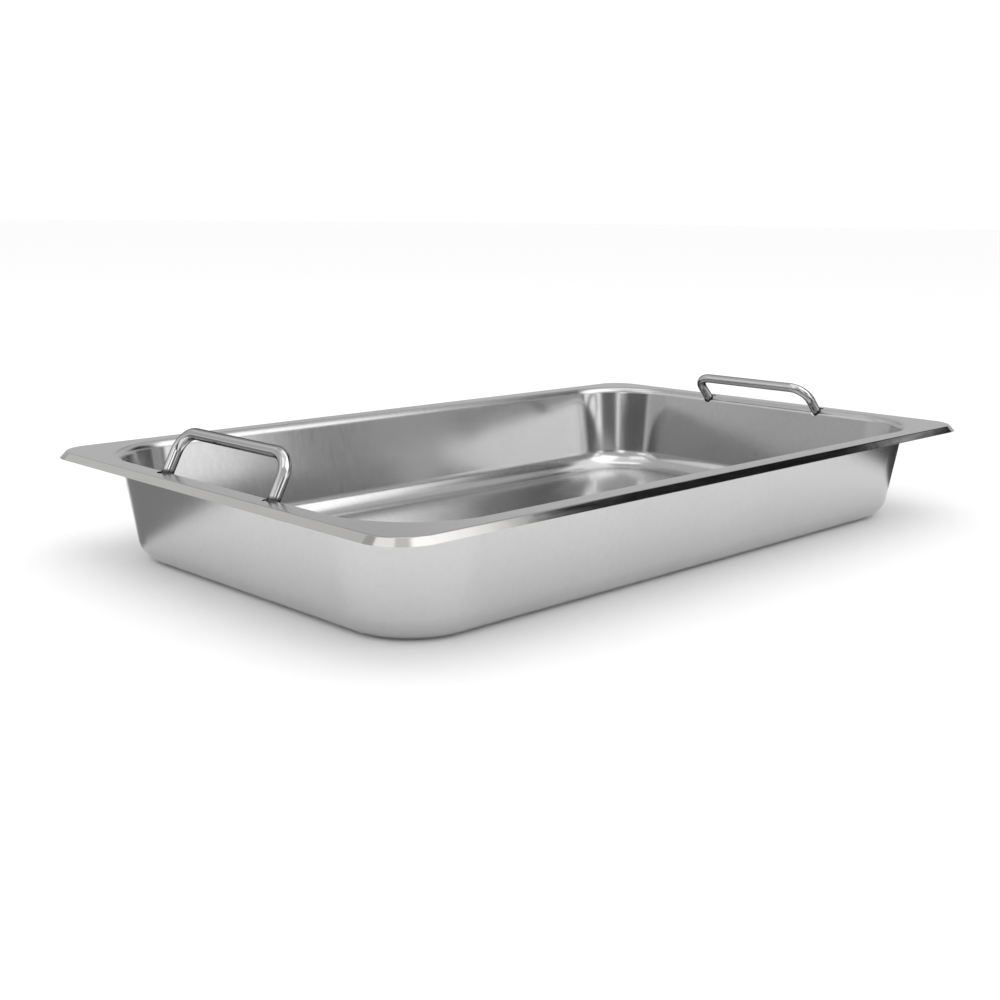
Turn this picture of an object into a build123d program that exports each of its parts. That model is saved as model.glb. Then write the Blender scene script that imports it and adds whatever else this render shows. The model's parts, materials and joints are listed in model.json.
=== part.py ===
"""A full-size gastronorm food pan, 65 mm deep, pressed from stainless steel sheet.

A bail handle of round wire stands at each short end. Its legs pass through slots in the bend
between rim and end wall, and its ends turn outwards under the rim, where each is held in a rolled
eye that is welded to the rim's underside. The slot's two ends stop the handle's swing.

Frame: +X along the pan, +Y across it, +Z up. The origin is the centre of the base. Millimetres.
"""
import os
from math import cos, radians, sin, tan

from build123d import *

# Pan: outer size over the rim, and the sheet it is pressed from
LENGTH = 530.0
WIDTH = 325.0
HEIGHT = 65.0
SHEET = 0.8

# Rim: a flat flange, and a lip that slopes down and outwards from the flange's edge
LIP_DROP = 3.7
LIP_REACH = 3.6
RIM_CORNER = 24.0
LIP_EDGE_RADIUS = 1.4

# Bowl: tapered walls, measured on their outer faces
WALL_TAPER = 9.5
WALL_INSET = 17.4
WALL_CORNER = 54.0
BASE_RADIUS = 15.9
BEND_RADIUS = 5.2

# Bail handles: round wire
WIRE_RADIUS = 3.35
LEG_SPACING = 100.0
LEG_REACH = 29.6
BAR_BEND = 12.8
ELBOW_BEND = 5.0
PIN_END = 66.0
PIN_CHAMFER = 0.6

# Swing of a handle, as its lean from upright towards the middle of the pan
LEAN_UPRIGHT = 0.0
LEAN_STOP = 44.3
LEAN_AT_REST = {"left": 27.6, "right": LEAN_STOP}
SLOT_CLEARANCE = 0.55
SLOT_END_PLAY = 1.0
SLOT_REACH = 13.0

# Rolled eyes that hold the handle's ends
EYE_BORE = WIRE_RADIUS + 0.1
EYE_SHEET = 0.6
EYE_START = 55.6
EYE_LENGTH = 9.0
TAB_REACH = 7.6

# How near an edge is to where it is looked for, when edges are picked for rounding
PICK_LEVEL = 0.01
PICK_NEAR = 0.4
PICK_NEAR_BEND = 1.2

# Derived sizes
END_X = {"left": -LENGTH / 2, "right": LENGTH / 2}
UNDERSIDE = HEIGHT - SHEET
TAPER_SLOPE = tan(radians(WALL_TAPER))
SHEET_ACROSS_WALL = SHEET / cos(radians(WALL_TAPER))
INNER_BEND_TANGENT = BEND_RADIUS * tan(radians((90 - WALL_TAPER) / 2))
PIVOT_INSET = WALL_INSET + SHEET_ACROSS_WALL - INNER_BEND_TANGENT
PIVOT_HEIGHT = UNDERSIDE - EYE_BORE - EYE_SHEET


def rounded(inset, corner, height):
    """The rim's rectangle moved inwards by an inset, as a face at a height."""
    outline = RectangleRounded(LENGTH - 2 * inset, WIDTH - 2 * inset, corner)
    return Pos(0, 0, height) * outline


def lowest_edges(solid):
    """The ring of edges around a solid's lowest face."""
    return solid.faces().sort_by(Axis.Z)[0].edges()


def bowl(floor, wall_inset_at_rim, corner_at_rim, floor_radius):
    """A closed bowl: tapered walls from a floor height up to the top of the rim."""
    depth = HEIGHT - floor
    narrowing = depth * TAPER_SLOPE
    base = rounded(wall_inset_at_rim + narrowing, corner_at_rim - narrowing, floor)
    walls = extrude(base, amount=depth, taper=-WALL_TAPER)
    return fillet(lowest_edges(walls), floor_radius)


def lip_cone(thickness_in):
    """A closed rim cap: the flange's outline, widening downwards along the lip's slope."""
    angle = 90 - abs(Vector(LIP_REACH, LIP_DROP).get_angle(Vector(1, 0)))
    inset = LIP_REACH + thickness_in
    top = rounded(inset, RIM_CORNER - inset, HEIGHT)
    return extrude(top, amount=-LIP_DROP, taper=-angle)


def edges_of_ring(solid, height, inset, tolerance):
    """Edges at a height that run along the rim's outline moved inwards by an inset."""

    def on_ring(edge):
        box = edge.bounding_box()
        flat = max(abs(box.min.Z - height), abs(box.max.Z - height)) < PICK_LEVEL
        reach_x = abs(LENGTH / 2 - inset - max(abs(box.min.X), abs(box.max.X)))
        reach_y = abs(WIDTH / 2 - inset - max(abs(box.min.Y), abs(box.max.Y)))
        return flat and min(reach_x, reach_y) < tolerance

    return solid.edges().filter_by(on_ring)


def pan_body():
    """The pressed bowl with its rim, and the four slots for the handles' legs."""
    outer = bowl(0, WALL_INSET, WALL_CORNER, BASE_RADIUS)
    inner_inset = WALL_INSET + SHEET_ACROSS_WALL
    inner_corner = WALL_CORNER - SHEET_ACROSS_WALL
    inner = bowl(SHEET, inner_inset, inner_corner, BASE_RADIUS - SHEET)

    slope_length = (LIP_REACH**2 + LIP_DROP**2) ** 0.5
    skirt_across = SHEET * slope_length / LIP_DROP
    rim = lip_cone(0) - lip_cone(skirt_across)
    plate = extrude(rounded(LIP_REACH, RIM_CORNER - LIP_REACH, UNDERSIDE), amount=SHEET)
    pan = outer + plate + rim - inner

    bend_edges = edges_of_ring(pan, HEIGHT, inner_inset, PICK_NEAR_BEND)
    pan = fillet(bend_edges, BEND_RADIUS)
    underside_inset = WALL_INSET + SHEET * TAPER_SLOPE
    underside_edges = edges_of_ring(pan, UNDERSIDE, underside_inset, PICK_NEAR_BEND)
    pan = fillet(underside_edges, BEND_RADIUS - SHEET)
    lip_edges = edges_of_ring(pan, HEIGHT, LIP_REACH, PICK_NEAR)
    pan = fillet(lip_edges, LIP_EDGE_RADIUS)
    for side in END_X:
        for leg_y in (-LEG_SPACING / 2, LEG_SPACING / 2):
            pan -= leg_slot(side, leg_y)
    return pan


def pivot(side):
    """The axis that a handle swings on, as a point on the pan's centre line."""
    inward = -1 if side == "right" else 1
    return Vector(END_X[side] + inward * PIVOT_INSET, 0, PIVOT_HEIGHT)


def leaning(side, lean):
    """A frame on a handle's axis whose local Y lies along the legs and local X along +Y."""
    inward = -1 if side == "right" else 1
    up = Vector(inward * sin(radians(lean)), 0, cos(radians(lean)))
    across = Vector(0, 1, 0)
    return Plane(origin=pivot(side), x_dir=across, z_dir=across.cross(up))


def leg_slot(side, leg_y):
    """What a leg clears on its way from upright to its stop, a little wider than the wire."""
    radius = WIRE_RADIUS + SLOT_CLEARANCE
    first = LEAN_UPRIGHT - SLOT_END_PLAY
    last = LEAN_STOP + SLOT_END_PLAY
    cutter = None
    for lean in (first, last):
        up = leaning(side, lean).y_dir
        foot = pivot(side) + Vector(0, leg_y, 0)
        leg = extrude(Plane(origin=foot, z_dir=up) * Circle(radius), amount=SLOT_REACH)
        cutter = leg if cutter is None else cutter + leg
    corners = [leaning(side, lean).y_dir * SLOT_REACH for lean in (first, last)]
    outline = Polyline((0, 0), *[(c.X, c.Z) for c in corners], close=True)
    start = pivot(side) + Vector(0, leg_y + radius, 0)
    section = Plane(origin=start, x_dir=(1, 0, 0), z_dir=(0, -1, 0)) * make_face(outline)
    return cutter + extrude(section, amount=2 * radius)


def handle(side):
    """A bail: two legs and a bar, with both ends turned outwards as hinge pins."""
    leg_y = LEG_SPACING / 2
    half = [(PIN_END, 0), (leg_y, 0), (leg_y, LEG_REACH)]
    corners = [(-y, reach) for y, reach in half] + list(reversed(half))
    bends = [ELBOW_BEND, BAR_BEND, BAR_BEND, ELBOW_BEND]
    frame = leaning(side, LEAN_AT_REST[side])
    route = frame * FilletPolyline(*corners, radius=bends)
    start = Plane(origin=route @ 0, z_dir=route % 0)
    wire = sweep(start * Circle(WIRE_RADIUS), path=route)
    ends = wire.faces().sort_by(Axis.Y)
    return chamfer(ends[0].edges() + ends[-1].edges(), PIN_CHAMFER)


def hinge_eye(side, end):
    """A strip with a flat tab under the rim, rolled into an eye around one end of a handle."""
    inward = -1 if side == "right" else 1
    start_y = EYE_START if end == "back" else -EYE_START - EYE_LENGTH
    start = pivot(side) + Vector(0, start_y, 0)
    section = Plane(origin=start, x_dir=(inward, 0, 0), z_dir=(0, inward, 0))
    outer_radius = EYE_BORE + EYE_SHEET
    tab = Pos(-TAB_REACH / 2, outer_radius - EYE_SHEET / 2) * Rectangle(TAB_REACH, EYE_SHEET)
    profile = Circle(outer_radius) + tab - Circle(EYE_BORE)
    return extrude(section * profile, amount=inward * EYE_LENGTH)


def main():
    os.makedirs("parts", exist_ok=True)
    parts = {"pan_body": pan_body()}
    for side in END_X:
        parts[f"handle_{side}"] = handle(side)
        for end in ("front", "back"):
            parts[f"hinge_eye_{side}_{end}"] = hinge_eye(side, end)
    for node, shape in parts.items():
        export_step(shape, f"parts/{node}.step")


if __name__ == "__main__":
    main()
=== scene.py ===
import json
import math
import bmesh
import bpy
from mathutils import Matrix, Vector


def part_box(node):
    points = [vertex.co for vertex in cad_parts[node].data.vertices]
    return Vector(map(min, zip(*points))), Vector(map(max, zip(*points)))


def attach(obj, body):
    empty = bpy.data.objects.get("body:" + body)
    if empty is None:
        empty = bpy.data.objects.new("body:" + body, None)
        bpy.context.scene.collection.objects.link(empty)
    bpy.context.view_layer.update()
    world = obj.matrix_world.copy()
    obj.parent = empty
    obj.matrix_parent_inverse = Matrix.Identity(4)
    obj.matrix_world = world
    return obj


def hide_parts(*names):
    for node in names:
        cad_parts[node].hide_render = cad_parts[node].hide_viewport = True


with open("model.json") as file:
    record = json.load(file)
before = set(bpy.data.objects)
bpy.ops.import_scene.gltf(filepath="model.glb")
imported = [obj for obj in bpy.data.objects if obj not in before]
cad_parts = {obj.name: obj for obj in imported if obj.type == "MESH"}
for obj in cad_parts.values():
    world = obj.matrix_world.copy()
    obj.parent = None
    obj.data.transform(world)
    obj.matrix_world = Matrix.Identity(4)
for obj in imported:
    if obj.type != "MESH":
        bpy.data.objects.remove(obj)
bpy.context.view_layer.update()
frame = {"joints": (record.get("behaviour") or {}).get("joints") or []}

# ---------------------------------------------------------------------------------------------
# Sizes, in metres. The pan's outer size and the handles' axes come from the frame. The rest
# repeats the CAD's design.
# ---------------------------------------------------------------------------------------------
_, pan_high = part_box("pan_body")
HALF_LENGTH = pan_high.x
HALF_WIDTH = pan_high.y
HEIGHT = pan_high.z
MM = 0.001
MICRON = 0.000001

SHEET = 0.8 * MM
LIP_DROP = 3.7 * MM
LIP_REACH = 3.6 * MM
LIP_EDGE_RADIUS = 1.4 * MM
RIM_CORNER = 24.0 * MM
WALL_TAPER = math.radians(9.5)
WALL_INSET = 17.4 * MM
WALL_CORNER = 54.0 * MM
BASE_RADIUS = 15.9 * MM
BEND_RADIUS = 5.2 * MM

WIRE_RADIUS = 3.35 * MM
LEG_SPACING = 100.0 * MM
LEG_REACH = 29.6 * MM
BAR_BEND = 12.8 * MM
ELBOW_BEND = 5.0 * MM
PIN_END = 66.0 * MM
LEAN_STOP = math.radians(44.3)
LEAN_AT_REST = {"left": math.radians(27.6), "right": LEAN_STOP}
SLOT_RADIUS = WIRE_RADIUS + 0.55 * MM
SLOT_END_PLAY = math.radians(1.0)

EYE_BORE = WIRE_RADIUS + 0.1 * MM
EYE_SHEET = 0.6 * MM
EYE_START = 55.6 * MM
EYE_LENGTH = 9.0 * MM
TAB_REACH = 7.6 * MM

PIVOTS = {j["child"].split("_")[0]: Vector(j["pos_m"]) for j in frame["joints"]}
INWARD = {"left": 1.0, "right": -1.0}


# ---------------------------------------------------------------------------------------------
# Camera: turns round the pan's middle, a distance, and a shift of the aim off that middle
# ---------------------------------------------------------------------------------------------
VIEW_AZIMUTH = math.radians(44.86)
VIEW_ELEVATION = math.radians(11.98)
VIEW_ROLL = math.radians(0.63)
VIEW_DISTANCE = 0.8864
AIM_RIGHT = -0.02775
AIM_UP = -0.01062
FOCAL_IN_FRAME_WIDTHS = 1.3415
SENSOR_MM = 36.0
NEAR_CLIP = 0.01
FAR_CLIP = 100


def make_camera():
    """A camera that looks across the pan from beyond its left end, slightly above the rim."""
    forward = Vector((
        math.sin(VIEW_AZIMUTH) * math.cos(VIEW_ELEVATION),
        math.cos(VIEW_AZIMUTH) * math.cos(VIEW_ELEVATION),
        -math.sin(VIEW_ELEVATION),
    ))
    level = Vector((math.cos(VIEW_AZIMUTH), -math.sin(VIEW_AZIMUTH), 0))
    upright = level.cross(forward)
    right = level * math.cos(VIEW_ROLL) + upright * math.sin(VIEW_ROLL)
    up = upright * math.cos(VIEW_ROLL) - level * math.sin(VIEW_ROLL)
    middle = Vector((0, 0, HEIGHT / 2))
    place = middle - forward * VIEW_DISTANCE + right * AIM_RIGHT + up * AIM_UP
    turn = Matrix((right, up, -forward)).transposed().to_4x4()
    data = bpy.data.cameras.new("camera")
    data.sensor_width = SENSOR_MM
    data.lens = SENSOR_MM * FOCAL_IN_FRAME_WIDTHS
    data.clip_start = NEAR_CLIP
    data.clip_end = FAR_CLIP
    camera = bpy.data.objects.new("camera", data)
    camera.matrix_world = Matrix.Translation(place) @ turn
    bpy.context.scene.collection.objects.link(camera)
    bpy.context.scene.camera = camera


# ---------------------------------------------------------------------------------------------
# Mesh helpers
# ---------------------------------------------------------------------------------------------
LARGE_FACE_WEIGHT = 80


def add_mesh(name, points, faces, materials, face_material=None):
    """A mesh object with smooth faces, its materials and each face's place in them."""
    mesh = bpy.data.meshes.new(name)
    mesh.from_pydata([tuple(p) for p in points], [], faces)
    for material in materials:
        mesh.materials.append(material)
    if face_material:
        mesh.polygons.foreach_set("material_index", face_material)
    mesh.polygons.foreach_set("use_smooth", [True] * len(mesh.polygons))
    mesh.update()
    obj = bpy.data.objects.new(name, mesh)
    bpy.context.scene.collection.objects.link(obj)
    return obj


def face_outwards(obj):
    """Turns every face so that its normal points out of the solid."""
    bm = bmesh.new()
    bm.from_mesh(obj.data)
    bmesh.ops.recalc_face_normals(bm, faces=bm.faces)
    bm.to_mesh(obj.data)
    bm.free()


def quads_between_rings(rings, count):
    """Faces between closed rings of points that follow one another, each with the same count."""
    faces = []
    for ring in range(rings - 1):
        here = ring * count
        after = here + count
        for k in range(count):
            n = (k + 1) % count
            faces.append((here + k, here + n, after + n, after + k))
    return faces


def apply_modifiers(obj):
    """Replaces the object's mesh by its evaluated one, so that no modifier is left."""
    graph = bpy.context.evaluated_depsgraph_get()
    made = bpy.data.meshes.new_from_object(obj.evaluated_get(graph))
    obj.modifiers.clear()
    obj.data = made


def add_weighted_normals(obj, crease_angle):
    """Keeps broad flat faces flat in the shading, and marks edges over an angle as sharp."""
    obj.data.set_sharp_from_angle(angle=crease_angle)
    modifier = obj.modifiers.new("weighted_normals", "WEIGHTED_NORMAL")
    modifier.keep_sharp = True
    modifier.weight = LARGE_FACE_WEIGHT
    apply_modifiers(obj)


# ---------------------------------------------------------------------------------------------
# Pan body: rounded rectangles, one for each point of the sheet's section
# ---------------------------------------------------------------------------------------------
CORNER_STEPS = 28
LONG_STEPS = 48
SHORT_STEPS = 30
BEND_STEPS = 14
BASE_STEPS = 20
WALL_STEPS = 10
LIP_EDGE_STEPS = 6
LIP_STEPS = 3
FLANGE_STEPS = 4
FLOOR_RINGS = 10
FLOOR_RING_SPREAD = 1.3
FLOOR_CENTRE_HALF_WIDTH = 4.0 * MM
FLOOR_CENTRE_CORNER = 2.0 * MM
CRISP_EDGE = 0.4 * MM
LEAST_LIP_RADIUS = 0.3 * MM
PAN_CREASE = math.radians(35)
BOWL_CORNER_AT_EDGE = WALL_CORNER + WALL_INSET


def rounded_rectangle(inset, corner, height):
    """A closed ring of points on the rim's rectangle moved inwards by an inset."""
    a = HALF_LENGTH - inset - corner
    b = HALF_WIDTH - inset - corner
    centres = [(a, b, 0), (-a, b, 90), (-a, -b, 180), (a, -b, 270)]

    def on_corner(centre, turned):
        x, y, start = centre
        angle = math.radians(start + turned)
        return Vector((x + corner * math.cos(angle), y + corner * math.sin(angle), height))

    ring = []
    for index, centre in enumerate(centres):
        ring += [on_corner(centre, 90 * step / CORNER_STEPS) for step in range(CORNER_STEPS + 1)]
        before = ring[-1]
        after = on_corner(centres[(index + 1) % 4], 0)
        steps = LONG_STEPS if index % 2 == 0 else SHORT_STEPS
        ring += [before.lerp(after, step / steps) for step in range(1, steps)]
    return ring


def bowl_corner(inset):
    """Corner radius of the bowl, whose corners all share one centre."""
    return BOWL_CORNER_AT_EDGE - inset


def arc(centre, radius, first, last, steps):
    """Points (inset, height) on an arc, angles from the vertical towards the bowl's middle."""
    points = []
    for step in range(steps + 1):
        angle = first + (last - first) * step / steps
        points.append((centre[0] + radius * math.sin(angle), centre[1] + radius * math.cos(angle)))
    return points


def between(first, last, steps):
    """Points between two points, with one close to each end so that the shading stays crisp."""
    (ax, az), (bx, bz) = first, last
    near = CRISP_EDGE / math.hypot(bx - ax, bz - az)
    shares = [near] + [step / steps for step in range(1, steps)] + [1 - near]
    return [(ax + (bx - ax) * t, az + (bz - az) * t) for t in shares]


def lip_section(offset):
    """The lip from its lower edge up and round to the flange, as points (inset, height)."""
    slope = math.atan2(LIP_REACH, LIP_DROP)
    turn = math.pi / 2 - slope
    radius = max(LIP_EDGE_RADIUS - offset, LEAST_LIP_RADIUS)
    foot = (offset / math.cos(slope), HEIGHT - LIP_DROP)
    corner_inset = LIP_REACH + foot[0] - (LIP_REACH / LIP_DROP) * offset
    centre = (corner_inset + radius * math.tan(turn / 2), HEIGHT - offset - radius)
    edge = arc(centre, radius, -turn, 0, LIP_EDGE_STEPS)
    return [foot] + between(foot, edge[0], LIP_STEPS) + edge


def bend_section(offset):
    """The bend from the flange down to the wall, round the handle's axis."""
    centre = (HALF_LENGTH - abs(PIVOTS["left"].x), HEIGHT - BEND_RADIUS)
    return arc(centre, BEND_RADIUS - offset, 0, math.pi / 2 - WALL_TAPER, BEND_STEPS)


def base_section(offset):
    """The rounding from the wall to the floor."""
    radius = BASE_RADIUS - SHEET + offset
    centre_height = SHEET - offset + radius
    wall_at_rim = WALL_INSET + (SHEET - offset) / math.cos(WALL_TAPER)
    wall_reach = (HEIGHT - centre_height) * math.tan(WALL_TAPER)
    centre_inset = wall_at_rim + wall_reach + radius / math.cos(WALL_TAPER)
    points = []
    for step in range(BASE_STEPS + 1):
        angle = WALL_TAPER + (math.pi / 2 - WALL_TAPER) * step / BASE_STEPS
        inset = centre_inset - radius * math.cos(angle)
        points.append((inset, centre_height - radius * math.sin(angle)))
    return points


def skin(offset):
    """One side of the sheet's section, from the lip's lower edge to the floor, as stations
    (inset, height, corner radius, zone). The offset is the depth under the visible side."""
    lip = lip_section(offset)
    bend = bend_section(offset)
    base = base_section(offset)
    stations = [(inset, height, RIM_CORNER - inset, "lip") for inset, height in lip]

    first, last = lip[-1][0], bend[0][0]
    for inset, height in between(lip[-1], bend[0], FLANGE_STEPS):
        share = (inset - first) / (last - first)
        corner = (RIM_CORNER - first) * (1 - share) + bowl_corner(last) * share
        stations.append((inset, height, corner, "flange"))

    wall = between(bend[-1], base[0], WALL_STEPS)
    for zone, section in (("bend", bend), ("wall", wall), ("base", base)):
        stations += [(inset, height, bowl_corner(inset), zone) for inset, height in section]

    start, floor = base[-1]
    end = HALF_WIDTH - FLOOR_CENTRE_HALF_WIDTH
    for step in range(FLOOR_RINGS + 1):
        share = (step / FLOOR_RINGS) ** FLOOR_RING_SPREAD
        inset = start + CRISP_EDGE + (end - start - CRISP_EDGE) * share
        corner = bowl_corner(start) * (1 - share) + FLOOR_CENTRE_CORNER * share
        stations.append((inset, floor, corner, "base"))
    return stations


def make_pan(finishes):
    """The pressed sheet, as one closed mesh of both its sides, with the legs' slots cut in it.
    Finishes are named by zone, and the last one is for the slots' edges."""
    upper = skin(0)
    stations = list(reversed(upper)) + skin(SHEET)
    points = []
    for inset, height, corner, _ in stations:
        points += rounded_rectangle(inset, corner, height)
    count = len(points) // len(stations)
    faces = quads_between_rings(len(stations), count)
    faces.append(tuple(range(count)))
    faces.append(tuple(reversed(range(len(points) - count, len(points)))))

    places = {zone: index for index, zone in enumerate(finishes)}
    kinds = []
    for row, (_, _, _, zone) in enumerate(stations[:-1]):
        kinds += [places[zone if row < len(upper) else "under"]] * count
    kinds += [places["base"], places["under"]]
    pan = add_mesh("pan", points, faces, list(finishes.values()), kinds)
    face_outwards(pan)
    cut_slots(pan)
    add_weighted_normals(pan, PAN_CREASE)
    return pan


# ---------------------------------------------------------------------------------------------
# Slots: what a handle's leg sweeps, taken out of the bend between rim and end wall
# ---------------------------------------------------------------------------------------------
SLOT_END_STEPS = 14
# The cutter's distances from the pivot: it starts inside the sheet's bend and ends outside it
SLOT_LEVELS = (4.05 * MM, 5.0 * MM, 7.0 * MM, 9.5 * MM)


def slot_cutter(side, leg_y):
    """A closed shape round what a leg sweeps between its stops, in levels round the pivot."""
    pivot = PIVOTS[side]
    points = []
    for radius in SLOT_LEVELS:
        for end, lean in ((-1, -SLOT_END_PLAY), (1, LEAN_STOP + SLOT_END_PLAY)):
            for step in range(SLOT_END_STEPS + 1):
                turn = math.pi * step / SLOT_END_STEPS
                across = -end * SLOT_RADIUS * math.cos(turn)
                past = math.asin(min(SLOT_RADIUS * math.sin(turn) / radius, 1))
                angle = lean + end * past
                x = pivot.x + INWARD[side] * radius * math.sin(angle)
                points.append(Vector((x, leg_y + across, pivot.z + radius * math.cos(angle))))
    count = len(points) // len(SLOT_LEVELS)
    faces = quads_between_rings(len(SLOT_LEVELS), count)
    faces.append(tuple(range(count)))
    faces.append(tuple(range(len(points) - count, len(points))))
    return points, faces


def cut_slots(pan):
    """Cuts the four slots and removes the cutter."""
    points = []
    faces = []
    for side in PIVOTS:
        for leg_y in (-LEG_SPACING / 2, LEG_SPACING / 2):
            more, around = slot_cutter(side, leg_y)
            faces += [tuple(k + len(points) for k in face) for face in around]
            points += more
    cutter = add_mesh("slot_cutter", points, faces, [pan.data.materials[-1]])
    face_outwards(cutter)
    modifier = pan.modifiers.new("slots", "BOOLEAN")
    modifier.operation = "DIFFERENCE"
    modifier.solver = "EXACT"
    modifier.object = cutter
    apply_modifiers(pan)
    bpy.data.objects.remove(cutter)


# ---------------------------------------------------------------------------------------------
# Handles: a circle swept along a bent wire
# ---------------------------------------------------------------------------------------------
WIRE_SIDES = 48
WIRE_ARC_STEP = math.radians(5)
WIRE_END_ROUND = 0.7 * MM
# The rounding of a wire's end: how far in, and how much of the rounding is left, as shares of it
WIRE_END_PROFILE = ((0, 0.55), (0.12, 0.25), (0.45, 0.05), (1, 0))


def bent_wire(corners, bends):
    """Points and directions along straight runs joined by tangent arcs, in a plane."""
    corners = [Vector(c) for c in corners]
    route = [(corners[0], (corners[1] - corners[0]).normalized())]
    for before, corner, after, radius in zip(corners, corners[1:], corners[2:], bends):
        arriving = (corner - before).normalized()
        leaving = (after - corner).normalized()
        turn = arriving.angle_signed(leaving)
        reach = radius * math.tan(abs(turn) / 2)
        side = Vector((arriving.y, -arriving.x)) * (1 if turn > 0 else -1)
        centre = corner - arriving * reach + side * radius
        steps = max(2, round(abs(turn) / WIRE_ARC_STEP))
        for step in range(steps + 1):
            turned = Matrix.Rotation(-turn * step / steps, 2)
            route.append((centre - turned @ side * radius, turned @ arriving))
    route.append((corners[-1], (corners[-1] - corners[-2]).normalized()))
    return route


def rounded_end(place, inward, direction):
    """Stations (place, direction, radius) that round off one end of a wire, from its tip on."""
    stations = []
    for depth, narrowing in WIRE_END_PROFILE:
        centre = place + inward * WIRE_END_ROUND * depth
        stations.append((centre, direction, WIRE_RADIUS - WIRE_END_ROUND * narrowing))
    return stations


def make_handle(side, material):
    """A bail of polished wire, with both ends turned outwards under the rim."""
    half = [(PIN_END, 0), (LEG_SPACING / 2, 0), (LEG_SPACING / 2, LEG_REACH)]
    corners = [(-y, reach) for y, reach in half] + list(reversed(half))
    route = bent_wire(corners, [ELBOW_BEND, BAR_BEND, BAR_BEND, ELBOW_BEND])
    (first, first_way), (last, last_way) = route[0], route[-1]
    stations = rounded_end(first, first_way, first_way)
    stations += [(place, way, WIRE_RADIUS) for place, way in route[1:-1]]
    stations += reversed(rounded_end(last, -last_way, last_way))

    lean = LEAN_AT_REST[side]
    up = Vector((INWARD[side] * math.sin(lean), 0, math.cos(lean)))
    out = Vector((-INWARD[side] * math.cos(lean), 0, math.sin(lean)))
    points = []
    for place, way, radius in stations:
        centre = PIVOTS[side] + Vector((0, place.x, 0)) + up * place.y
        normal = Vector((0, -way.y, 0)) + up * way.x
        for k in range(WIRE_SIDES):
            angle = 2 * math.pi * k / WIRE_SIDES
            around = normal * radius * math.cos(angle) + out * radius * math.sin(angle)
            points.append(centre + around)
    faces = quads_between_rings(len(stations), WIRE_SIDES)
    faces.append(tuple(range(WIRE_SIDES)))
    faces.append(tuple(range(len(points) - WIRE_SIDES, len(points))))
    obj = add_mesh(f"wire_handle_{side}", points, faces, [material])
    face_outwards(obj)
    return obj


# ---------------------------------------------------------------------------------------------
# Hinge eyes: a strip with a flat tab, rolled round the handle's end
# ---------------------------------------------------------------------------------------------
EYE_ROLL = math.radians(325)
EYE_ROLL_STEPS = 44
EYE_BEVEL = 0.12 * MM
EYE_CREASE = math.radians(50)


def eye_section():
    """The strip's middle line and its normals: the tab's start, its middle, then the roll."""
    radius = EYE_BORE + EYE_SHEET / 2
    section = [((-TAB_REACH, radius), (0, 1)), ((-TAB_REACH / 2, radius), (0, 1))]
    for step in range(EYE_ROLL_STEPS + 1):
        angle = EYE_ROLL * step / EYE_ROLL_STEPS
        normal = (math.sin(angle), math.cos(angle))
        section.append(((radius * normal[0], radius * normal[1]), normal))
    return section


def make_eye(side, end, material):
    """A rolled strip whose tab lies against the rim's underside."""
    section = eye_section()
    start = EYE_START if end == "back" else -EYE_START - EYE_LENGTH
    points = []
    for y in (start, start + EYE_LENGTH):
        for half_sheet in (EYE_SHEET / 2, -EYE_SHEET / 2):
            for (x, z), (nx, nz) in section:
                x_here = INWARD[side] * (x + half_sheet * nx)
                points.append(PIVOTS[side] + Vector((x_here, y, z + half_sheet * nz)))
    faces = []
    inner = len(section)
    second = 2 * inner
    for k in range(inner - 1):
        for here in (k, inner + k):
            faces.append((here, here + 1, second + here + 1, second + here))
        for here in (k, second + k):
            faces.append((here, here + 1, inner + here + 1, inner + here))
    for k in (0, inner - 1):
        faces.append((k, inner + k, second + inner + k, second + k))
    obj = add_mesh(f"rolled_eye_{side}_{end}", points, faces, [material])
    face_outwards(obj)
    bevel = obj.modifiers.new("bevel", "BEVEL")
    bevel.width = EYE_BEVEL
    bevel.segments = 2
    bevel.limit_method = "ANGLE"
    bevel.angle_limit = EYE_CREASE
    apply_modifiers(obj)
    add_weighted_normals(obj, EYE_CREASE)
    return obj


# ---------------------------------------------------------------------------------------------
# Materials. A noise's scale is its number of features in a metre, and a grey is a linear value.
# ---------------------------------------------------------------------------------------------
STEEL_GREY = 0.60
CLOUD_SCALE = 11
WAVE_SCALE = 17
FLECK_SCALE = 340
DRAWN_SCALE = 420
GRAIN_SCALE = 2600
DRAWN_STRETCH = (1, 1, 0.06)
NOISE_RANGE = (0.3, 0.7)
# Distances from the hinge's axis over which the wire's dullness and its painted shade fade out
BUFFED_AND_UNSHADED_FROM = (5.9 * MM, 7.4 * MM)

# The pan's pressed zones: each one's material name, roughness, and waviness
PRESSED = {
    "wall": ("bowl_steel", 0.15, 0.5 * MM),
    "base": ("base_steel", 0.18, 0.4 * MM),
    "bend": ("bend_steel", 0.24, 0.3 * MM),
    "flange": ("flange_steel", 0.22, 0.3 * MM),
    "under": ("outer_steel", 0.22, 0.3 * MM),
}


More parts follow.
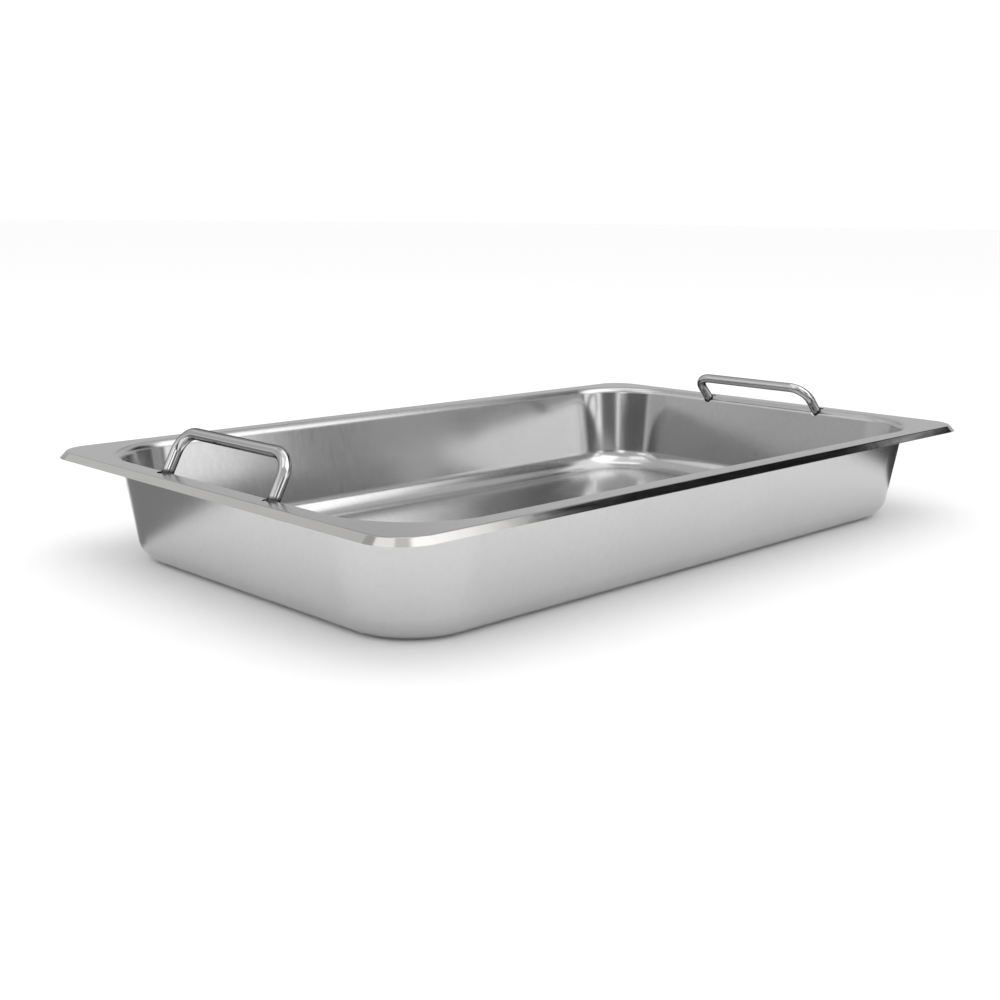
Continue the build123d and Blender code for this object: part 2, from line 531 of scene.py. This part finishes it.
class Nodes:
    """Short ways to add and join a material's nodes."""

    def __init__(self, name):
        self.material = bpy.data.materials.new(name)
        self.material.use_nodes = True
        self.tree = self.material.node_tree
        self.shader = self.tree.nodes["Principled BSDF"]
        self.shader.inputs["Metallic"].default_value = 1.0
        self.place = self.tree.nodes.new("ShaderNodeTexCoord").outputs["Object"]

    def add(self, kind, **inputs):
        """A new node, with inputs given by name and an underscore for each space in a name."""
        node = self.tree.nodes.new(kind)
        for name, value in inputs.items():
            self.put(value, node.inputs[name.replace("_", " ")])
        return node

    def put(self, value, socket):
        """Joins another node's output to a socket, or sets the socket to a plain value."""
        if isinstance(value, bpy.types.NodeSocket):
            self.tree.links.new(value, socket)
        else:
            socket.default_value = value

    def noise(self, scale, detail, rough, stretch=(1, 1, 1)):
        """Noise on the object's own coordinates, which may be stretched along an axis."""
        mapping = self.add("ShaderNodeMapping", Vector=self.place, Scale=stretch)
        node = self.add("ShaderNodeTexNoise", Vector=mapping.outputs["Vector"], Scale=scale)
        self.put(detail, node.inputs["Detail"])
        self.put(rough, node.inputs["Roughness"])
        return node.outputs["Fac"]

    def ramp(self, value, low, high, out_low, out_high):
        """Carries a value's range over to another range, and stops at its ends."""
        node = self.add("ShaderNodeMapRange", Value=value, From_Min=low, From_Max=high)
        self.put(out_low, node.inputs["To Min"])
        self.put(out_high, node.inputs["To Max"])
        return node.outputs["Result"]

    def operate(self, kind, operation, first, second, result):
        """What a maths node makes of two values."""
        node = self.tree.nodes.new(kind)
        node.operation = operation
        self.put(first, node.inputs[0])
        self.put(second, node.inputs[1])
        return node.outputs[result]

    def sum(self, first, second):
        return self.operate("ShaderNodeMath", "ADD", first, second, "Value")

    def mix(self, factor, first, second):
        """A colour between two greys or two colours."""
        node = self.tree.nodes.new("ShaderNodeMix")
        node.data_type = "RGBA"
        self.put(factor, node.inputs["Factor"])
        self.put(first, node.inputs["A"])
        self.put(second, node.inputs["B"])
        return node.outputs["Result"]

    def bump(self, height, distance, strength, normal=None):
        """A normal bent by a height, on top of another normal if there is one."""
        node = self.add("ShaderNodeBump", Height=height, Distance=distance, Strength=strength)
        if normal:
            self.put(normal, node.inputs["Normal"])
        return node.outputs["Normal"]

    def finish(self, colour, roughness, normal):
        """The material, once its shader has these three."""
        self.put(colour, self.shader.inputs["Base Color"])
        self.put(roughness, self.shader.inputs["Roughness"])
        self.put(normal, self.shader.inputs["Normal"])
        return self.material


def tint(value, warmth=0.0):
    """A grey, made slightly warmer or cooler."""
    return (value * (1 + warmth), value, value * (1 - warmth), 1)


def sheet_steel(name, rough, waviness):
    """Pressed stainless sheet: fine matt grain, faint drawing marks, soft cloudy patches and an
    unevenness that bends reflections."""
    nodes = Nodes(name)
    cloud = nodes.noise(CLOUD_SCALE, 2, 0.5)
    grain = nodes.noise(GRAIN_SCALE, 2, 0.6)
    drawn = nodes.noise(DRAWN_SCALE, 3, 0.6, DRAWN_STRETCH)
    fleck = nodes.noise(FLECK_SCALE, 2, 0.5)
    wave = nodes.noise(WAVE_SCALE, 1, 0.4)
    colour = nodes.mix(cloud, tint(STEEL_GREY * 0.94), tint(STEEL_GREY * 1.06))
    flecked = nodes.ramp(fleck, 0.45, 0.75, 0, 0.3)
    colour = nodes.mix(flecked, colour, tint(STEEL_GREY * 0.84, 0.01))
    grained = nodes.ramp(grain, 0.35, 0.7, 0, 0.35)
    colour = nodes.mix(grained, colour, tint(STEEL_GREY * 0.86))
    clouded = nodes.ramp(cloud, *NOISE_RANGE, -0.02, 0.02)
    streaked = nodes.ramp(drawn, *NOISE_RANGE, -0.015, 0.015)
    roughness = nodes.sum(nodes.sum(clouded, streaked), rough)
    normal = nodes.bump(grain, 8 * MICRON, 0.5)
    normal = nodes.bump(drawn, 6 * MICRON, 0.5, normal)
    normal = nodes.bump(wave, waviness, 0.5, normal)
    return nodes.finish(colour, roughness, normal)


def polished_lip():
    """The rim's turned-down lip, buffed along its length until it nearly mirrors."""
    nodes = Nodes("polished_lip")
    hair = nodes.noise(700, 3, 0.6, (0.05, 0.05, 1))
    wave = nodes.noise(45, 2, 0.5)
    colour = nodes.mix(hair, tint(0.48, 0.01), tint(0.54, 0.01))
    normal = nodes.bump(hair, 10 * MICRON, 0.4)
    normal = nodes.bump(wave, 0.3 * MM, 0.25, normal)
    return nodes.finish(colour, nodes.ramp(hair, *NOISE_RANGE, 0.07, 0.13), normal)


def polished_wire(side):
    """Bright wire with draw lines. Round the hinge it is dull where no buffing reaches, and its
    colour is darkened there as painted shade for the contact shadow at the leg's foot.
    """
    nodes = Nodes(f"polished_wire_{side}")
    nodes.shader.inputs["Specular Tint"].default_value = tint(0.12)
    fine = nodes.noise(1500, 3, 0.6)
    wave = nodes.noise(120, 2, 0.5)
    kind = "ShaderNodeVectorMath"
    axis = (PIVOTS[side].x, 0, PIVOTS[side].z)
    in_section = nodes.operate(kind, "MULTIPLY", nodes.place, (1, 0, 1), "Vector")
    reach = nodes.operate(kind, "DISTANCE", in_section, axis, "Value")
    bright = nodes.ramp(reach, *BUFFED_AND_UNSHADED_FROM, 0, 1)
    polished = nodes.mix(fine, tint(0.58), tint(0.64))
    # Painted shade: the colour goes near black round the hinge, standing in for the contact shadow
    # at the leg's foot
    colour = nodes.mix(bright, tint(0.10, 0.05), polished)
    smooth = nodes.ramp(fine, *NOISE_RANGE, 0.03, 0.07)
    dull = nodes.ramp(bright, 0, 1, 0.35, 0)
    normal = nodes.bump(fine, 6 * MICRON, 0.4)
    normal = nodes.bump(wave, 0.2 * MM, 0.15, normal)
    return nodes.finish(colour, nodes.sum(smooth, dull), normal)


def strip_steel():
    """Plain rolled strip, duller than the pan."""
    nodes = Nodes("strip_steel")
    rolled = nodes.noise(900, 3, 0.6, (1, 0.08, 1))
    patch = nodes.noise(180, 2, 0.5)
    colour = nodes.mix(patch, tint(0.36, 0.02), tint(0.50))
    roughness = nodes.ramp(rolled, *NOISE_RANGE, 0.28, 0.42)
    return nodes.finish(colour, roughness, nodes.bump(rolled, 30 * MICRON, 0.4))


def shaded_slot_edge():
    """The slots' punched edges, painted near black as shade inside the slots."""
    nodes = Nodes("shaded_slot_edge")
    tear = nodes.noise(2200, 3, 0.6)
    # Painted shade: a near-black colour for the shadow inside the slots
    colour = nodes.mix(tear, tint(0.05, 0.1), tint(0.16, 0.05))
    roughness = nodes.ramp(tear, *NOISE_RANGE, 0.4, 0.6)
    return nodes.finish(colour, roughness, nodes.bump(tear, 30 * MICRON, 0.5))


def floor_paper():
    """Pale matt paper with the faintest fibre."""
    nodes = Nodes("floor_paper")
    nodes.shader.inputs["Metallic"].default_value = 0.0
    fibre = nodes.noise(40, 4, 0.6)
    colour = nodes.mix(fibre, tint(0.90), tint(0.92))
    return nodes.finish(colour, 0.9, nodes.bump(fibre, 0.1 * MM, 0.05))


# ---------------------------------------------------------------------------------------------
# Stage: floor, lights, and cards round the pan that only reflections see
# ---------------------------------------------------------------------------------------------
FLOOR_HALF = 30.0
FLOOR_DROP = 0.4 * MM
WORLD_SEEN = 1.12
WORLD_REFLECTED = 0.6

OVERHEAD_PLACE = (-0.8, -0.8, 1.7)
OVERHEAD_SIZE = (2.2, 2.2)
OVERHEAD_WATTS = 11

FLAT_DISTANCE = 8.0
FLAT_STEP = 4.0
CHINK_DISTANCE = FLAT_DISTANCE - 0.5

# Upright flats, each with its azimuths and elevations in degrees, its brightness, and the shares
# of its width and height over which it fades at the edges
FLATS = {
    "window": ((-55.5, -91), (-4, 26), 1.4, (0.08, 0.1)),
    "gap": ((-50, -55.5), (-4, 14), 0.15, (0.3, 0.15)),
    "wing": ((-36, -50), (-4, 14), 0.42, (0.15, 0.15)),
    "dark_right": ((-2, -37), (-4, 15), 0.12, (0.1, 0.15)),
    "dark_front": ((-91, -121), (-4, 22), 0.18, (0.15, 0.15)),
    "strip": ((-121, -127), (-4, 22), 1.2, (0.3, 0.15)),
    "dark_near": ((-127, -182), (-4, 19), 0.12, (0.1, 0.3)),
    "side": ((124, 168), (14, 42), 0.95, (0.15, 0.15)),
    "left": ((140, 176), (-4, 14), 0.5, (0.2, 0.2)),
    "top_left": ((86, 116), (20, 49), 0.85, (0.2, 0.15)),
    "left_glow": ((166, 192), (21, 34), 1.6, (0.2, 0.2)),
    "near_glow": ((-126, -139), (13, 27), 2.1, (0.1, 0.12)),
    "dim_back": ((48, 58), (16, 30), 0.3, (0.15, 0.15)),
    "flag": ((22, -26), (20, 43), 0.015, (0.1, 0.06)),
    "flag_front": ((-22, -62), (16, 42), 0.12, (0.1, 0.1)),
}

# Level cards, each with its reach along and across in metres, its height, its brightness, and the
# same two shares. The softboxes are turned by an azimuth in degrees.
SOFTBOX_TURN = 34.4
SOFTBOXES = {
    "softbox": ((-1.5, 1.15), (-5.0, -0.4), 2.0, 1.9, (0.15, 0.08)),
    "softbox_far": ((0.2, 1.15), (-0.9, 0.7), 2.02, 1.9, (0.35, 0.2)),
    "softbox_dim": ((-1.5, 0.6), (-0.9, 1.7), 2.04, 0.95, (0.2, 0.2)),
    "softbox_left": ((-1.6, -0.4), (0.1, 1.5), 1.98, 1.45, (0.15, 0.12)),
}
# Painted shadow: dark level cards on the floor, seen only in reflections, stand in for the pan's
# shadow on the floor behind its left end and beyond its right end
FLOOR_SHADOW_CARDS = {
    "painted_floor_shadow_left": ((-0.9, -0.21), (0.118, 0.8), 0.4 * MM, 0.28, (0.03, 0.03)),
    "painted_floor_shadow_right": ((0.29, 0.9), (-0.5, 0.4), 0.4 * MM, 0.05, (0.04, 0.08)),
}


def card_material(name, brightness, softness):
    """An even glow that fades to nothing towards the card's edges. It isn't sampled as a lamp,
    which keeps its reflections free of speckle."""
    material = bpy.data.materials.new(name)
    material.use_nodes = True
    material.cycles.emission_sampling = "NONE"
    tree = material.node_tree
    tree.nodes.clear()
    place = tree.nodes.new("ShaderNodeTexCoord")
    split = tree.nodes.new("ShaderNodeSeparateXYZ")
    tree.links.new(place.outputs["UV"], split.inputs[0])
    edges = []
    for axis, soft in zip("XY", softness):
        for low, high in ((0, soft), (1, 1 - soft)):
            edge = tree.nodes.new("ShaderNodeMapRange")
            edge.interpolation_type = "SMOOTHSTEP"
            edge.inputs["From Min"].default_value = low
            edge.inputs["From Max"].default_value = high
            tree.links.new(split.outputs[axis], edge.inputs["Value"])
            edges.append(edge.outputs["Result"])
    cover = edges[0]
    for edge in edges[1:]:
        times = tree.nodes.new("ShaderNodeMath")
        times.operation = "MULTIPLY"
        tree.links.new(cover, times.inputs[0])
        tree.links.new(edge, times.inputs[1])
        cover = times.outputs["Value"]
    glow = tree.nodes.new("ShaderNodeEmission")
    glow.inputs["Strength"].default_value = brightness
    clear = tree.nodes.new("ShaderNodeBsdfTransparent")
    mix = tree.nodes.new("ShaderNodeMixShader")
    out = tree.nodes.new("ShaderNodeOutputMaterial")
    tree.links.new(cover, mix.inputs["Fac"])
    tree.links.new(clear.outputs[0], mix.inputs[1])
    tree.links.new(glow.outputs[0], mix.inputs[2])
    tree.links.new(mix.outputs[0], out.inputs["Surface"])
    return material


def make_card(name, points, brightness, softness):
    """A card that only reflections see, between the first half of the points and the second."""
    columns = len(points) // 2
    faces = [(k, k + 1, columns + k + 1, columns + k) for k in range(columns - 1)]
    card = add_mesh(name, points, faces, [card_material(name, brightness, softness)])
    layer = card.data.uv_layers.new(name="UVMap")
    for loop in card.data.loops:
        row, k = divmod(loop.vertex_index, columns)
        layer.data[loop.index].uv = (k / (columns - 1), row)
    card.visible_camera = False
    card.visible_diffuse = False
    card.visible_shadow = False


def make_flat(name, azimuths, elevations, brightness, softness, distance=FLAT_DISTANCE):
    """A curved upright card between two azimuths and two elevations, in degrees."""
    first, last = azimuths
    steps = max(2, round(abs(last - first) / FLAT_STEP))
    points = []
    for elevation in elevations:
        height = distance * math.tan(math.radians(elevation))
        for step in range(steps + 1):
            azimuth = math.radians(first + (last - first) * step / steps)
            x = distance * math.cos(azimuth)
            points.append(Vector((x, distance * math.sin(azimuth), height)))
    make_card(name, points, brightness, softness)


def make_level_card(name, turn, along, across, height, brightness, softness):
    """A horizontal card between two distances along an azimuth and two across it."""
    turned = Matrix.Rotation(math.radians(turn), 3, "Z")
    points = [turned @ Vector((x, y, height)) for y in across for x in along]
    make_card(name, points, brightness, softness)


def make_floor():
    """A broad sheet of paper, a hair under the pan's base."""
    half = FLOOR_HALF
    corners = [(-half, -half, 0), (half, -half, 0), (half, half, 0), (-half, half, 0)]
    floor = add_mesh("floor", corners, [(0, 1, 2, 3)], [floor_paper()])
    floor.location.z = -FLOOR_DROP


def make_overhead():
    """A broad soft light towards the pan, which its reflections don't show."""
    data = bpy.data.lights.new("overhead", "AREA")
    data.shape = "RECTANGLE"
    data.size, data.size_y = OVERHEAD_SIZE
    data.energy = OVERHEAD_WATTS
    light = bpy.data.objects.new("overhead", data)
    light.rotation_mode = "QUATERNION"
    light.rotation_quaternion = Vector(OVERHEAD_PLACE).to_track_quat("Z", "Y")
    light.location = OVERHEAD_PLACE
    light.visible_glossy = False
    bpy.context.scene.collection.objects.link(light)


def make_world():
    """An even pale surround, dimmer in reflections than behind the pan."""
    world = bpy.data.worlds.new("studio")
    world.use_nodes = True
    tree = world.node_tree
    sky = tree.nodes["Background"]
    sky.inputs["Color"].default_value = (1, 1, 1, 1)
    path = tree.nodes.new("ShaderNodeLightPath")
    level = tree.nodes.new("ShaderNodeMapRange")
    level.inputs["To Min"].default_value = WORLD_SEEN
    level.inputs["To Max"].default_value = WORLD_REFLECTED
    tree.links.new(path.outputs["Is Glossy Ray"], level.inputs["Value"])
    tree.links.new(level.outputs["Result"], sky.inputs["Strength"])
    bpy.context.scene.world = world


def make_stage():
    """All that stands round the pan, and how the picture's brightness is shown."""
    make_floor()
    make_world()
    make_overhead()
    for name, card in SOFTBOXES.items():
        make_level_card(name, SOFTBOX_TURN, *card)
    for name, flat in FLATS.items():
        make_flat(name, *flat)
    make_flat("chink", (-8, -13), (26, 28.6), 0.7, (0.3, 0.3), CHINK_DISTANCE)
    # Dark cards that paint the pan's floor shadow into its reflections
    for name, card in FLOOR_SHADOW_CARDS.items():
        make_level_card(name, 0, *card)
    scene = bpy.context.scene
    scene.view_settings.view_transform = "Standard"
    scene.view_settings.look = "None"


# ---------------------------------------------------------------------------------------------
# Put it together
# ---------------------------------------------------------------------------------------------
def main():
    make_camera()
    finishes = {zone: sheet_steel(*look) for zone, look in PRESSED.items()}
    finishes["lip"] = polished_lip()
    finishes["slot"] = shaded_slot_edge()
    pan = make_pan(finishes)
    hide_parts("pan_body")
    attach(pan, "pan")
    strip = strip_steel()
    for side in PIVOTS:
        wire = make_handle(side, polished_wire(side))
        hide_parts(f"handle_{side}")
        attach(wire, f"{side}_handle")
        for end in ("front", "back"):
            eye = make_eye(side, end, strip)
            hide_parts(f"hinge_eye_{side}_{end}")
            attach(eye, "pan")
    make_stage()


main()
